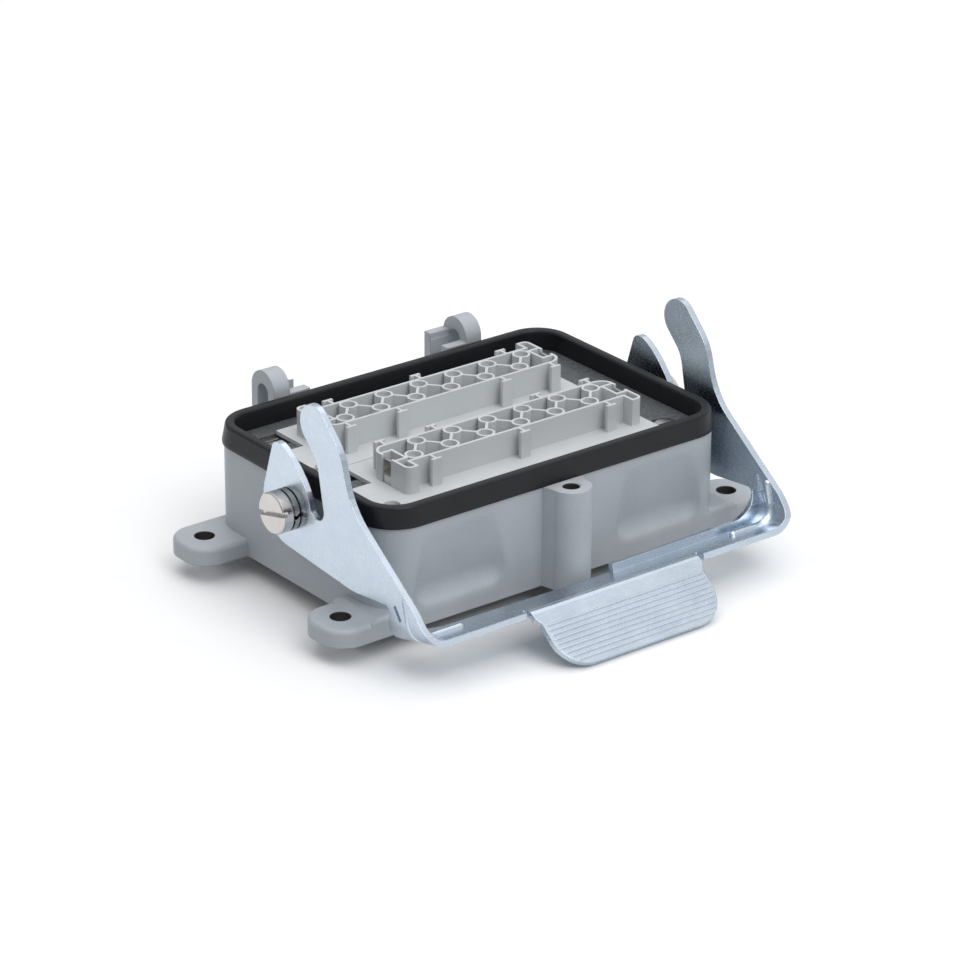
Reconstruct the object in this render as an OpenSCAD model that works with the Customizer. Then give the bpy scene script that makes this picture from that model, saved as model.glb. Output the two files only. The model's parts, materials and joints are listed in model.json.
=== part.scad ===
// Panel-mount rectangular multipole socket: a cast housing with two contact inserts,
// a rim gasket and one folded locking lever.
// X runs along the long side, Y to the back and Z up from the panel. The origin is the
// centre of the four mounting holes on the panel face. The lever is drawn open, at the front.

/* [Housing] */
// Length of the casting along X
housing_l = 130; // [124:1:140]
// Width of the casting along Y
housing_w = 90; // [86:1:100]
// Height of the ledge that carries the inserts
ledge_z = 32.4; // [30:0.2:38]
// Radius of the upright corners
corner_r = 12; // [10:0.5:15]
// Thickness of the side walls
wall_t = 4.5; // [4:0.1:5.5]
// Thickness of the ledge
ledge_t = 4; // [3:0.1:5]
// Deepest point of the two hollows in the front wall
hollow_depth = 2.5; // [1:0.1:3]
// Radius of the soft edges of the hollows
hollow_r = 7; // [5:0.5:8]

/* [Mounting lugs] */
// Distance of the hole centres from the end walls
hole_out = 9; // [8:0.5:12]
// Diameter of the mounting holes
hole_d = 6.2; // [5:0.1:7]
// Width of a lug along Y
lug_w = 20; // [18:0.5:24]
// Thickness of a lug
lug_t = 5.6; // [4:0.1:7]
// Material beyond the hole centre
lug_end = 8.5; // [7:0.5:10]
// Rounding of the upper edge of a lug
lug_edge_r = 1.6; // [0.5:0.1:2]
// Height of the pad between a front lug and the wall, above the lug
pad_h = 1.1; // [0.4:0.1:1.6]
// Length of that pad's level top along X
pad_l = 2.4; // [1.5:0.1:3]
// Length of the slope from the pad down to the lug
pad_slope = 2.4; // [1:0.1:3]

/* [Front boss] */
// Distance of the boss hole from the front wall
boss_out = 4.3; // [3.5:0.1:6]
// Radius of the boss nose
boss_r = 6.3; // [5:0.1:7]
// Half width of the boss where it meets the wall
boss_flank = 7.4; // [7:0.1:9]
// Diameter of the tapped hole in the boss
boss_hole_d = 5; // [4:0.1:6]
// Depth of that hole
boss_hole_depth = 18; // [10:1:24]

/* [Hinge ears] */
// Distance of an ear from the middle of the housing
ear_x = 37.1; // [30:0.1:44]
// Thickness of an ear along X
ear_t = 6; // [4:0.5:8]
// Outer radius of the ear's arch
ear_r = 6; // [5:0.1:7]
// Width of the slot in an ear
ear_slot_w = 5.6; // [4:0.1:6]
// Height of the arch centre above the ledge
ear_rise = 7.8; // [4:0.1:9]
// Length along X of the stop block on the inner side
ear_stop_l = 7.5; // [4:0.1:8]

/* [Gaskets] */
// Height of the rim gasket above the ledge
gasket_h = 6.6; // [5:0.1:8]
// How far the gasket lip stands out over the wall
gasket_lip = 0.6; // [0.2:0.1:0.9]
// Width of the gasket at its foot
gasket_w = 4.1; // [3.8:0.1:4.6]
// Distance by which the gasket's outer face is set back at its top
gasket_set_back = 0.9; // [0.4:0.1:1.1]
// Thickness of the cast rim inside the gasket
rim_t = 1.5; // [1.2:0.1:1.8]
// Width of the panel seal in the underside
panel_seal_w = 2.2; // [1.6:0.1:2.6]
// Depth of the panel seal's groove
panel_seal_h = 1.8; // [1.2:0.1:2.4]

/* [Inserts] */
// Distance between the centre lines of the two inserts
insert_pitch = 34.3; // [34.3:0.1:36]
// Number of towers in a row
tower_count = 6; // [4:1:6]
// Distance between the two rows
row_gap = 7.65; // [7:0.05:8.5]
// Outer diameter of a tower
tower_d = 5.8; // [5.4:0.1:6.2]
// Height of the towers and walls above the ledge
tower_h = 9.9; // [8:0.1:12]
// Thickness of the insert's thin walls and ribs
insert_wall = 0.9; // [0.7:0.05:1.2]
// Thickness of the insert flange
flange_t = 1.3; // [1.1:0.1:2]
// Width of the insert flange along Y
flange_w = 34; // [32:0.5:34]
// Depth of the insert below the ledge
insert_depth = 19; // [16:0.5:22]
// Distance of the fixing screws from the ends of the housing
screw_in = 13; // [12:0.5:15]
// Distance from a fixing screw to the end of the contact lattice, along X
nose_in = 7.3; // [7:0.1:9]
// Spacing of the fixing screws along Y
screw_pitch_y = 27; // [25:0.5:28]

/* [Contacts] */
// Diameter of the contact's front sleeve
contact_d = 4; // [3:0.1:4.1]
// Diameter of the pin bore in the sleeve
contact_bore_d = 2.5; // [2:0.1:3]
// Diameter of the collar that seats in the insert
collar_d = 5.2; // [5:0.1:5.4]

/* [Locking lever] */
// Clear distance between the end wall and an arm
arm_gap = 3; // [2.4:0.1:4]
// Thickness of the sheet
lever_t = 2; // [1.8:0.1:2.6]
// Outside radius of the bend from arm to crossbar
bend_r = 8; // [6:0.5:9]
// Rise of the crossbar towards the front, in degrees
crossbar_rise = 14; // [10:1:18]
// Depth of the crossbar at its middle
crossbar_w = 11.8; // [10:0.2:14]
// Clear distance between the boss and the crossbar
crossbar_gap = 4.4; // [3.5:0.1:6]
// Height of the crossbar's front edge above the panel
crossbar_z = 6.8; // [6.4:0.1:8]
// Height of the flange on the back edge of the crossbar
flange_up = 2.6; // [1.5:0.1:3]
// Radius of the stiffening beads through the bends
bead_r = 1.3; // [1:0.1:1.5]
// Width of the peg slot between the two fingers
peg_slot_w = 7.6; // [7:0.1:8.4]

/* [Lever tab] */
// Width of the tab
tab_w = 61; // [50:1:70]
// Length of the tab's flat
tab_l = 19.3; // [16:0.1:24]
// Fall of the tab below the horizontal, in degrees
tab_fall = 38.4; // [30:0.5:45]
// Radius of the tab's outer corners
tab_corner_r = 10.6; // [6:0.2:14]
// Distance of the first grip rib from the fold
rib_start = 4.1; // [3:0.1:6]
// Spacing of the grip ribs
rib_pitch = 1.62; // [1.4:0.02:2]
// Height of a grip rib
rib_h = 0.25; // [0.15:0.05:0.4]

/* [Pivots] */
// Distance of the lever pivots in front of the housing's middle
pivot_front = 3.8; // [0:0.1:8]
// Drop of the pivots below the ledge
pivot_drop = 4.8; // [4.7:0.1:8]
// Diameter of the bush that the lever turns on
bush_d = 9; // [8.6:0.1:9]
// Diameter of the pivot screw's shank
pivot_screw_d = 6; // [5:0.1:6]
// Diameter of the pivot screw's head
pivot_head_d = 13; // [11:0.1:14]
// Height of the pivot screw's head
pivot_head_h = 3.6; // [3:0.1:5]
// Thickness of the split lock washer
washer_t = 1.6; // [1.2:0.1:2]

/* [Hidden] */
$fn = 64;

// Surplus that lets a cutter pass clean through a face
over = 1;
// Clearance of parts that are slid together and stay put
slip = 0.1;
// Radial running clearance of the lever on its bushes
run = 0.05;
// Side clearance of the lever on its bushes
side_play = 0.3;
// Depth by which joined features of one casting or moulding reach into each other
bury = 0.5;
// Largest angle of one step on a rounded outline corner
arc_step = 7.5;

cast_grey = [0.58, 0.60, 0.63];
rubber_black = [0.14, 0.14, 0.16];
moulding_grey = [0.72, 0.73, 0.74];
zinc = [0.80, 0.85, 0.90];
nickel = [0.82, 0.80, 0.77];
brass = [0.78, 0.66, 0.38];

hx = housing_l / 2;
hy = housing_w / 2;
corner_x = hx - corner_r;
corner_y = hy - corner_r;
inner_r = corner_r - wall_t;

hole_x = hx + hole_out;
hole_y = hy - lug_w / 2;
lug_corner_r = min(lug_end, lug_w / 2) - 0.5;
lug_corner_x = hole_x + lug_end - lug_corner_r;
lug_side_y = lug_w / 2 - lug_corner_r;

boss_y = -(hy + boss_out);
boss_chamfer = 0.6;

hollow_top = ledge_z - 3.4;
hollow_foot = 11.7;
hollow_near = 20;
hollow_far = hx - 9;
hollow_tilt = atan(hollow_depth / (hollow_top - hollow_foot));

ear_lip_gap = 0.7;
ear_front = hy + ear_lip_gap;
ear_y = ear_front + ear_r;
ear_z = ledge_z + ear_rise;
ear_slot_drop = 1.1;
ear_slot_z = ledge_z - 6;
ear_foot_z = ledge_z - 17;
ear_wall_t = 3;
ear_stop_low = ledge_z + 3.2;

gasket_out = corner_r + gasket_lip;
gasket_in = gasket_out - gasket_w;
gasket_round = 1.1;
gasket_foot = 0.8;
rim_mid = (gasket_out + gasket_in) / 2;
rim_top = ledge_z + gasket_h - 2.2;
seal_mid = corner_r - wall_t / 2;

insert_y = insert_pitch / 2;
tower_z = ledge_z + tower_h;
tower_hole_d = contact_d + 0.3;
screw_x = hx - screw_in;
screw_y = screw_pitch_y / 2;
nose_x = screw_x - nose_in;
nose_l = 8.04;
row_y = row_gap / 2;
first_x = nose_l - nose_x;
tower_pitch = -2 * first_x / (tower_count - 0.5);
row_shift = tower_pitch / 2;
flange_z = ledge_z + flange_t;
tower_sink = 0.35;
lattice_y = row_y + tower_d / 2 - tower_sink;
side_y = lattice_y + insert_wall;
nose_root = nose_x - 5.6;
nose_far_r = 4.5;
fin_x = nose_x - 4.2;
fin_y = side_y + 4.2;
fin_r = 2;
guide_near_x = 0.85 * nose_root;
guide_far_x = 0.51 * nose_root;
guide_y = side_y + 3.4;
guide_w = 3.6;
guide_t = 1;
flange_x = nose_x + 2.9;
tongue_x = flange_x + 8;
tongue_far = 2.5;
block_x = nose_x - 2;
block_y = 12.5;
block_z = ledge_z - insert_depth;
collar_top = ledge_z - 7;
collar_t = 1.5;
chamber_d = collar_d + 2 * slip;
barrel_d = collar_d - 0.6;
barrel_out = 2;
contact_sink = 2;

fixing_d = 4;
fixing_head_d = 6.6;
fixing_head_h = 1.6;
fixing_slot = 1;
fixing_out = 0.8;
driver_hole_d = 5;
bracket_t = 0.6;
bracket_in = block_x + 0.9;
bracket_mid = flange_x - 1;
bracket_ear_r = 3.4;
bracket_z = ledge_z - bracket_t - fixing_head_h;
pocket_gap = 0.8;
blade_w = 4.4;
blade_y = -0.9;
slot_wall_y = blade_w / 2 + 0.9;

arm_in = hx + arm_gap;
arm_out = arm_in + lever_t;
pivot_y = -pivot_front;
pivot_z = ledge_z - pivot_drop;
bush_x = arm_in - side_play;
bush_l = lever_t + 2 * side_play;
washer_x = bush_x + bush_l;
neck_t = 0.7;
head_x = washer_x + washer_t + neck_t;
pivot_boss_r = bush_d / 2 + 0.1;
pivot_boss_in = 6;
shank_end = hx - wall_t - pivot_boss_in + 1;

front_y = boss_y - boss_r - crossbar_gap - crossbar_w * cos(crossbar_rise);
front_z = crossbar_z;
blank = 130;
slot_r = 0.42 * peg_slot_w;
bend_x = arm_out - bend_r;
flare_x = bend_x - 5;
flare_w = crossbar_w + 2;
rear_flange_x = 7;
bead_s = 8;
bead_up = 6;
bead_in = 10;
slit_s = 11.2;
slit_w = 1.3;
slit_l = 4.8;
fold_r = 1.5;
fold_s = 2;
// Thinning of the sheet through the fold, and overlap of the flats with it
fold_skin = 0.03;
fold_lap = 0.4;
neck_x = tab_w / 2 + 1.5;
flat_x = neck_x - 0.1;
relief_w = 1.6;
rib_r = 0.6;
rib_inset = 0.9;
rib_end = 2;

// Shared shapes

function unit(v) = v / norm(v);

// Points of the arc that rounds corner b, given as [x, y, radius], between a and c
function corner_arc(a, b, c) =
    let (p = [b.x, b.y], u = unit([a.x, a.y] - p), v = unit([c.x, c.y] - p))
    let (half = acos(u * v) / 2, mid = p + unit(u + v) * b.z / sin(half))
    let (s = p + u * b.z / tan(half) - mid, e = p + v * b.z / tan(half) - mid)
    let (from = atan2(s.y, s.x), turn = (atan2(e.y, e.x) - from + 540) % 360 - 180)
    let (n = ceil(abs(turn) / arc_step))
    b.z == 0 ? [p] : [for (i = [0:n]) mid + b.z * [cos(from + turn * i / n), sin(from + turn * i / n)]];

// Closed outline from corners given as [x, y, radius]
function rounded(corners) =
    let (n = len(corners))
    [for (i = [0:n - 1]) each corner_arc(corners[(i + n - 1) % n], corners[i], corners[(i + 1) % n])];

module rounded_rect(half_x, half_y, r) {
    square([2 * half_x, 2 * (half_y - r)], center = true);
    square([2 * (half_x - r), 2 * half_y], center = true);
    for (x = [-1, 1], y = [-1, 1])
        translate([x * (half_x - r), y * (half_y - r)])
            circle(r);
}

// Sweeps a section, drawn as distance out from the corner centres and height, around the rim
module around_rim() {
    for (side = [0, 180])
        rotate([0, 0, side]) {
            translate([corner_x, corner_y, 0])
                rotate([90, 0, 0])
                    linear_extrude(2 * corner_y)
                        children();
            translate([corner_x, corner_y, 0])
                rotate_extrude(angle = 90)
                    children();
            rotate([0, 0, 90])
                translate([corner_y, corner_x, 0])
                    rotate([90, 0, 0])
                        linear_extrude(2 * corner_x)
                            children();
            translate([-corner_x, corner_y, 0])
                rotate([0, 0, 90])
                    rotate_extrude(angle = 90)
                        children();
        }
}

// Block with round edges and corners, centred on the origin
module soft_box(size, r) {
    half = size / 2 - [r, r, r];
    cube([size.x, 2 * half.y, 2 * half.z], center = true);
    cube([2 * half.x, size.y, 2 * half.z], center = true);
    cube([2 * half.x, 2 * half.y, size.z], center = true);
    for (a = [-1, 1], b = [-1, 1]) {
        translate([a * half.x, b * half.y, 0])
            cylinder(r = r, h = 2 * half.z, center = true);
        translate([a * half.x, 0, b * half.z])
            rotate([90, 0, 0])
                cylinder(r = r, h = 2 * half.y, center = true);
        translate([0, a * half.y, b * half.z])
            rotate([0, 90, 0])
                cylinder(r = r, h = 2 * half.x, center = true);
        for (c = [-1, 1])
            translate([a * half.x, b * half.y, c * half.z])
                sphere(r);
    }
}

module both_ends() {
    children();
    mirror([1, 0, 0])
        children();
}

module along_x(from, to) {
    translate([from, 0, 0])
        rotate([90, 0, 90])
            linear_extrude(to - from)
                children();
}

// Housing

// Section of a lug's edge, as distance out from the corner centre and height
module lug_edge(h) {
    square([lug_corner_r, h - lug_edge_r]);
    square([lug_corner_r - lug_edge_r, h]);
    translate([lug_corner_r - lug_edge_r, h - lug_edge_r])
        circle(lug_edge_r);
}

// Length of lug along X at the +X end, with its two upper edges rounded
module lug_bar(from, to, h) {
    along_x(from, to) {
        translate([-lug_side_y, 0])
            square([2 * lug_side_y, h]);
        for (side = [0, 1])
            mirror([side, 0])
                translate([lug_side_y, 0])
                    lug_edge(h);
    }
}

// Slab of a lug from the end wall out, about the middle of its width
module lug_slab() {
    lug_bar(hx, lug_corner_x, lug_t);
    translate([lug_corner_x, lug_side_y, 0])
        rotate([90, 0, 0])
            linear_extrude(2 * lug_side_y)
                lug_edge(lug_t);
    translate([lug_corner_x, lug_side_y, 0])
        rotate_extrude(angle = 90)
            lug_edge(lug_t);
    translate([lug_corner_x, -lug_side_y, 0])
        rotate([0, 0, -90])
            rotate_extrude(angle = 90)
                lug_edge(lug_t);
}

// Pad on a front lug, level beside the wall and then sloping down to the lug
module lug_pad() {
    top = lug_t + pad_h;
    slope_x = hx + pad_l;
    foot_x = slope_x + pad_slope;
    difference() {
        lug_bar(hx, foot_x, top);
        translate([0, lug_w, 0])
            rotate([90, 0, 0])
                linear_extrude(2 * lug_w)
                    polygon([[slope_x, top], [slope_x, top + over], [foot_x + over, top + over],
                        [foot_x + over, lug_t - over * pad_h / pad_slope]]);
    }
}

// One lug as its own piece: end is 1 at the back and -1 at the front
module lug(end) {
    translate([0, end * hole_y, 0])
        difference() {
            union() {
                lug_slab();
                if (end < 0)
                    lug_pad();
            }
            translate([hole_x, 0, -over])
                cylinder(d = hole_d, h = lug_t + pad_h + 2 * over);
        }
}

module lug_front_right() color(cast_grey) lug(-1);
module lug_front_left() color(cast_grey) mirror([1, 0, 0]) lug(-1);
module lug_back_right() color(cast_grey) lug(1);
module lug_back_left() color(cast_grey) mirror([1, 0, 0]) lug(1);

module front_boss() color(cast_grey) {
    difference() {
        linear_extrude(ledge_z)
            difference() {
                union() {
                    translate([0, boss_y])
                        circle(boss_r);
                    polygon([
                        [-boss_flank, -hy], [-boss_r, boss_y], [boss_r, boss_y], [boss_flank, -hy]
                    ]);
                }
                translate([-housing_l / 2, -hy])
                    square(housing_l);
            }
        translate([0, boss_y, ledge_z - boss_hole_depth])
            cylinder(d = boss_hole_d, h = boss_hole_depth + over);
        translate([0, boss_y, ledge_z - boss_chamfer])
            cylinder(d1 = boss_hole_d, d2 = boss_hole_d + 4 * boss_chamfer, h = 2 * boss_chamfer);
    }
}

module front_hollow() {
    length = hollow_far - hollow_near;
    depth = 2 * hollow_r + over;
    height = hollow_top - hollow_foot + 3 * hollow_r;
    translate([(hollow_far + hollow_near) / 2, -hy, hollow_top])
        rotate([hollow_tilt, 0, 0])
            translate([0, -depth / 2, 2 * hollow_r - height / 2])
                soft_box([length, depth, height], hollow_r);
}

module ear_slot() {
    top = ear_z - ear_slot_drop;
    translate([ear_y, top])
        circle(d = ear_slot_w);
    translate([ear_y - ear_slot_w / 2, ear_slot_z])
        square([ear_slot_w, top - ear_slot_z]);
}

// Hinge ear at the +X side on the back wall, with a stop block of the given height beside it
module hinge_ear(stop_z) {
    inner = ear_x - ear_t / 2;
    back = ear_y + ear_r;
    along_x(inner, inner + ear_t)
        difference() {
            union() {
                translate([ear_y, ear_z])
                    circle(ear_r);
                polygon([
                    [ear_front, ear_z], [ear_front, ledge_z - bury], [hy, ledge_z - bury],
                    [hy, ear_foot_z], [back, ear_foot_z + 2 * ear_r], [back, ear_z]
                ]);
            }
            ear_slot();
        }
    along_x(inner - ear_stop_l, inner + bury)
        difference() {
            polygon([
                [ear_front, ledge_z], [ear_front, ledge_z - bury], [hy, ledge_z - bury],
                [hy, ear_foot_z], [back, ear_foot_z + 2 * ear_r], [back, stop_z],
                [back - ear_wall_t, stop_z], [back - ear_wall_t, ledge_z]
            ]);
            ear_slot();
        }
}

module hinge_ear_right() color(cast_grey) hinge_ear(ear_z);
module hinge_ear_left() color(cast_grey) mirror([1, 0, 0]) hinge_ear(ear_stop_low);

module pivot_boss(from, to) {
    translate([from, pivot_y, pivot_z])
        rotate([0, 90, 0])
            cylinder(r = pivot_boss_r, h = to - from);
}

module insert_opening(y) {
    translate([0, y, ledge_z - ledge_t - over])
        linear_extrude(ledge_t + 2 * over)
            rounded_rect(block_x + 2 * slip, block_y + 2 * slip, 1.5);
}

module screw_positions() {
    for (x = [-screw_x, screw_x], y = [-screw_y, screw_y])
        translate([x, y, 0])
            children();
}

module housing_shell() {
    difference() {
        union() {
            linear_extrude(ledge_z)
                rounded_rect(hx, hy, corner_r);
            both_ends() {
                translate([0, hole_y, 0])
                    lug_bar(corner_x, hx, lug_t);
                translate([0, -hole_y, 0])
                    lug_bar(corner_x, hx, lug_t + pad_h);
            }
            around_rim()
                translate([rim_mid - rim_t / 2, ledge_z - bury])
                    square([rim_t, rim_top - ledge_z + bury]);
        }
        translate([0, 0, -over])
            linear_extrude(ledge_z - ledge_t + over)
                rounded_rect(hx - wall_t, hy - wall_t, inner_r);
    }
}

module housing() color(cast_grey) {
    difference() {
        union() {
            housing_shell();
            both_ends() {
                pivot_boss(hx - wall_t - pivot_boss_in, hx - wall_t + bury);
                pivot_boss(hx - bury, bush_x);
            }
        }
        both_ends() {
            front_hollow();
            translate([hx - wall_t - pivot_boss_in - over, pivot_y, pivot_z])
                rotate([0, 90, 0])
                    cylinder(d = pivot_screw_d, h = wall_t + pivot_boss_in + arm_gap + over);
            for (side = [-1, 1])
                translate([0, side * insert_y, bracket_z])
                    linear_extrude(ledge_t)
                        bracket_plan(pocket_gap);
        }
        around_rim()
            translate([seal_mid - panel_seal_w / 2 - slip, -over])
                square([panel_seal_w + 2 * slip, panel_seal_h + over]);
        for (side = [-1, 1]) {
            insert_opening(side * insert_y);
            translate([0, side * insert_y, ledge_z - ledge_t - over])
                screw_positions()
                    cylinder(d = fixing_d + slip, h = ledge_t + 2 * over);
        }
    }
}

// Gaskets

module rim_gasket() color(rubber_black) {
    top = ledge_z + gasket_h;
    lean_out = gasket_out - gasket_set_back;
    around_rim()
        difference() {
            union() {
                polygon([
                    [gasket_in, ledge_z], [gasket_out, ledge_z], [gasket_out, ledge_z + gasket_foot],
                    [lean_out, top - gasket_round], [gasket_in, top - gasket_round]
                ]);
                translate([gasket_in + gasket_round, top - gasket_round])
                    circle(gasket_round);
                translate([lean_out - gasket_round, top - gasket_round])
                    circle(gasket_round);
                translate([gasket_in + gasket_round, top - 2 * gasket_round])
                    square([lean_out - gasket_in - 2 * gasket_round, 2 * gasket_round]);
            }
            translate([rim_mid - rim_t / 2 - slip, ledge_z - over])
                square([rim_t + 2 * slip, rim_top - ledge_z + over + slip]);
        }
}

module panel_gasket() color(rubber_black)
    around_rim()
        translate([seal_mid - panel_seal_w / 2, 0])
            square([panel_seal_w, panel_seal_h]);

// Inserts

function near_tower(i) = [first_x + i * tower_pitch, -row_y];
function far_tower(i) = near_tower(i) + [row_shift, row_gap];

module towers() {
    for (i = [0:tower_count - 1]) {
        translate(near_tower(i))
            children();
        translate(far_tower(i))
            children();
    }
}

module rib(a, b) {
    along = b - a;
    translate(a)
        rotate(atan2(along.y, along.x))
            translate([0, -insert_wall / 2])
                square([norm(along), insert_wall]);
}

// Guide rib with a T-shaped plan, standing out from the wall towards +Y
module guide_rib() {
    translate([-insert_wall / 2, lattice_y])
        square([insert_wall, guide_y - lattice_y]);
    translate([-guide_w / 2, guide_y - guide_t])
        square([guide_w, guide_t]);
}

// Outline of the nose at the +X end, drawn in by the given distance
function nose_outline(root, inset) = rounded([
    [root, side_y - inset, 0],
    [nose_x - inset, side_y - inset, nose_far_r - inset],
    [nose_x - inset, inset - fin_y, fin_r - inset],
    [fin_x + inset, inset - fin_y, 0],
    [fin_x + inset, inset - side_y, 0],
    [root, inset - side_y, 0]
]);

// Thin-walled nose at the +X end of the lattice, with a slot for the earth blade
module nose() {
    difference() {
        polygon(nose_outline(nose_root - bury, 0));
        polygon(nose_outline(nose_root - bury - over, insert_wall));
    }
    difference() {
        translate([fin_x - insert_wall, blade_y - slot_wall_y - insert_wall])
            square([nose_x - fin_x + insert_wall / 2, 2 * (slot_wall_y + insert_wall)]);
        translate([fin_x, blade_y - slot_wall_y])
            square([nose_x - fin_x, 2 * slot_wall_y]);
    }
}

module lattice() {
    for (side = [-1, 1])
        translate([-nose_root, side * (lattice_y + insert_wall / 2) - insert_wall / 2])
            square([2 * nose_root, insert_wall]);
    for (i = [0:tower_count - 1])
        rib(near_tower(i), far_tower(i));
    for (i = [0:tower_count - 2])
        rib(far_tower(i), near_tower(i + 1));
    rib([insert_wall / 2 - fin_x, blade_y - slot_wall_y], near_tower(0));
    rib(far_tower(tower_count - 1), [fin_x - insert_wall / 2, blade_y + slot_wall_y]);
    for (x = [-guide_near_x, 0, guide_near_x])
        translate([x, 0])
            rotate(180)
                guide_rib();
    for (x = [-nose_root, -guide_far_x, guide_far_x, nose_root])
        translate([x, 0])
            guide_rib();
    both_ends()
        nose();
    towers()
        circle(d = tower_d);
}

module flange_plan() {
    square([2 * flange_x, flange_w], center = true);
    polygon(rounded([
        [-flange_x + bury, tongue_far, 0], [-tongue_x, tongue_far, 1.5], [-tongue_x, -flange_w / 2, 7],
        [-flange_x + bury, -flange_w / 2, 0]
    ]));
}

// One insert about its own centre; turn is 180 where the lattice faces the other way
module insert_body(turn) {
    difference() {
        union() {
            translate([0, 0, ledge_z])
                linear_extrude(flange_t)
                    flange_plan();
            translate([0, 0, block_z])
                linear_extrude(flange_z - block_z)
                    rounded_rect(block_x, block_y, 1);
            rotate([0, 0, turn])
                translate([0, 0, flange_z - bury])
                    linear_extrude(tower_z - flange_z + bury)
                        lattice();
        }
        rotate([0, 0, turn])
            towers() {
                translate([0, 0, block_z - over])
                    cylinder(d = tower_hole_d, h = tower_z - block_z + 2 * over);
                translate([0, 0, block_z - over])
                    cylinder(d = chamber_d, h = collar_top - block_z + over);
            }
        rotate([0, 0, turn])
            both_ends()
                translate([bracket_in - slip, blade_y - blade_w / 2 - slip, ledge_z - over]) {
                    cube([bracket_t + 2 * slip, blade_w + 2 * slip, flange_t + 2 * over]);
                    translate([0, 0, flange_t + over])
                        cube([nose_x - bracket_in + over, blade_w + 2 * slip, tower_h]);
                }
        translate([-screw_x, -screw_y, ledge_z - over])
            cylinder(d = driver_hole_d, h = flange_t + 2 * over);
    }
}

module insert_body_front() color(moulding_grey)
    translate([0, -insert_y, 0])
        insert_body(0);

module insert_body_rear() color(moulding_grey)
    translate([0, insert_y, 0])
        insert_body(180);

// Contacts

module contact_socket() {
    top = tower_z - contact_sink;
    difference() {
        union() {
            translate([0, 0, collar_top - collar_t])
                cylinder(d = contact_d, h = top - collar_top + collar_t);
            translate([0, 0, collar_top - collar_t])
                cylinder(d = collar_d, h = collar_t);
            translate([0, 0, block_z - barrel_out])
                cylinder(d = barrel_d, h = collar_top - block_z + barrel_out - bury);
        }
        translate([0, 0, collar_top + 2])
            cylinder(d = contact_bore_d, h = top - collar_top);
        translate([0, 0, block_z - barrel_out - over])
            cylinder(d = barrel_d - 1.4, h = 8 + over);
    }
}

module contact_sockets(turn)
    rotate([0, 0, turn])
        towers()
            contact_socket();

module contact_sockets_front() color(brass)
    translate([0, -insert_y, 0])
        contact_sockets(0);

module contact_sockets_rear() color(brass)
    translate([0, insert_y, 0])
        contact_sockets(180);

// Earth brackets: a strip sunk in the ledge with two screw ears and an upright blade

// Plan of the strip and its ears at the +X end, with a margin around them
module bracket_plan(margin) {
    translate([bracket_in - margin, -screw_y])
        square([bracket_mid - bracket_in + 2 * margin, 2 * screw_y]);
    for (end = [-1, 1]) {
        translate([bracket_in - margin, end * screw_y - bracket_ear_r - margin])
            square([screw_x - bracket_in + margin, 2 * (bracket_ear_r + margin)]);
        translate([screw_x, end * screw_y])
            circle(bracket_ear_r + margin);
    }
}

module earth_bracket() {
    difference() {
        union() {
            translate([0, 0, bracket_z])
                linear_extrude(bracket_t)
                    bracket_plan(0);
            translate([bracket_in, blade_y - blade_w / 2, bracket_z])
                cube([bracket_t, blade_w, tower_z - bracket_z - 1]);
        }
        for (end = [-1, 1])
            translate([screw_x, end * screw_y, bracket_z - over])
                cylinder(d = fixing_d + 4 * slip, h = bracket_t + 2 * over);
    }
}

module earth_bracket_front_right() color(nickel)
    translate([0, -insert_y, 0])
        earth_bracket();

module earth_bracket_front_left() color(nickel)
    mirror([1, 0, 0])
        earth_bracket_front_right();

module earth_bracket_rear_left() color(nickel)
    translate([0, insert_y, 0])
        rotate([0, 0, 180])
            earth_bracket();

module earth_bracket_rear_right() color(nickel)
    mirror([1, 0, 0])
        earth_bracket_rear_left();

// Fixing screws of one insert

module fixing_screw() {
    seat = bracket_z + bracket_t;
    foot = ledge_z - ledge_t - fixing_out;
    difference() {
        union() {
            translate([0, 0, seat])
                cylinder(d = fixing_head_d, h = fixing_head_h);
            translate([0, 0, foot])
                cylinder(d = fixing_d, h = seat - foot + bury);
        }
        translate([-fixing_head_d, -fixing_slot / 2, ledge_z - fixing_slot])
            cube([2 * fixing_head_d, fixing_slot, fixing_slot + over]);
    }
}

module fixing_screws_front() color(nickel)
    translate([0, -insert_y, 0])
        screw_positions()
            fixing_screw();

module fixing_screws_rear() color(nickel)
    translate([0, insert_y, 0])
        screw_positions()
            fixing_screw();

// Locking lever

// Side outline of an arm, as [y, z, radius]: the fingers and slot lie about the pivot,
// the heel and nose about the crossbar's front edge
function from_pivot(y, z, r) = [pivot_y + y, pivot_z + z, r];
function from_front(y, z, r) = [front_y + y, front_z + z, r];
function arm_outline() = [
    from_pivot(17, -11, 12.6),
    from_pivot(-32.2, -14.9, 20),
    from_front(17.5, 7.9, 2),
    from_front(20, -8, 0),
    from_front(-5, -8, 0),
    from_front(-3.5, -1.1, 0),
    from_front(6, 9.8, 8),
    from_pivot(-30.9, 11, 22),
    from_pivot(-26.3, 26.7, 16),
    from_pivot(-13.1, 39.9, 6.3),
    from_pivot(-4, 30.8, 6.3),
    from_pivot(-14.9, 19.9, 10),
    from_pivot(-10.9 - peg_slot_w, 1.6, slot_r),
    from_pivot(-10.9, 1.6, slot_r),
    from_pivot(-10.9, 10.7, 7),
    from_pivot(6.25, 22.6, 3)
];

// Section of the folded sheet: crossbar below, arms to both sides
module channel_side(inset) {
    r = bend_r - inset;
    half = arm_out - inset;
    translate([-half, bend_r])
        square([2 * half, blank]);
    translate([-bend_x, inset])
        square([2 * bend_x, blank]);
    for (side = [-1, 1])
        translate([side * bend_x, bend_r])
            circle(r);
}

// Places shapes in the crossbar's own frame: X across, Y back from its front edge, Z off the sheet
module on_crossbar() {
    translate([0, front_y, front_z])
        rotate([-crossbar_rise, 0, 0])
            children();
}

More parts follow.
